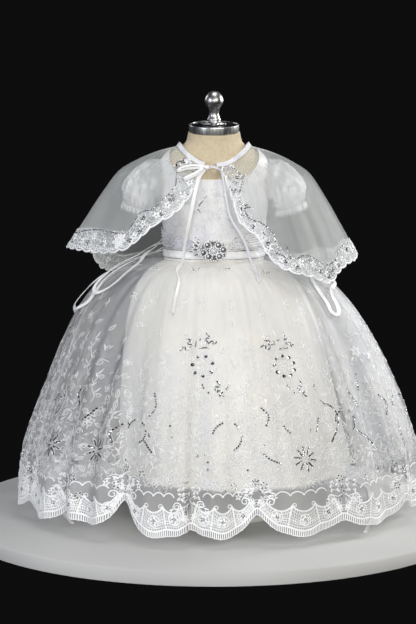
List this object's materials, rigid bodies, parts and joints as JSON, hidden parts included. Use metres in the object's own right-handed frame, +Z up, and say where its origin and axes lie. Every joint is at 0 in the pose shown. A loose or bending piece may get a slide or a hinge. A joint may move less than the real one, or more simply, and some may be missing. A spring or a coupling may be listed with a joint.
{
  "type": "christening gown on dress form",
  "caption": "Baby's christening gown with an embroidered net skirt over satin, puffed sleeves and a sheer scalloped cape, worn by a limbless linen dress form on a round base.",
  "frame": {"origin": "on the floor, at the centre of the flat underside of the form's round base, under the pole", "axes": "+Z up, the gown's front faces -Y, the wearer's right side is -X"},
  "size_m": [0.5919, 0.5335, 0.6075],
  "materials": {
    "satin": "satin",
    "ribbon": "satin",
    "organza": "sheer, slightly glossy",
    "lace": "matt lace with small sequins",
    "embroidered_net": "sheer net with satin-stitch embroidery",
    "lining_satin": "satin",
    "rhinestones": "faceted stones in a metal setting",
    "form_linen": "matt woven linen",
    "chrome_metal": "polished",
    "base_enamel": "semi-gloss"
  },
  "bodies": {
    "root": {"bodice_front": "satin", "bodice_back_left": "satin", "bodice_back_right": "satin", "sleeve_left": "organza", "sleeve_right": "organza", "sleeve_lace_left": "lace", "sleeve_lace_right": "lace", "overskirt_front": "embroidered_net", "overskirt_back": "embroidered_net", "underskirt_front": "lining_satin", "underskirt_back": "lining_satin", "sash": "satin", "waist_drape_left": "satin", "waist_drape_right": "satin", "brooch": "rhinestones", "cape_organza": "organza", "cape_lace": "lace", "cape_neck_band": "satin", "tie_knot": "ribbon", "tie_loop_upper": "ribbon", "tie_loop_lower": "ribbon", "tie_tail_left": "ribbon", "tie_tail_right": "ribbon", "bow_knot": "ribbon", "bow_loop_left": "ribbon", "bow_loop_right_long": "ribbon", "bow_loop_right_short": "ribbon", "bow_tail_left": "ribbon", "bow_tail_right": "ribbon", "form_torso": "form_linen", "form_cap": "chrome_metal", "form_knob": "chrome_metal", "form_pole": "chrome_metal", "form_base": "base_enamel"}
  },
  "joints": []
}
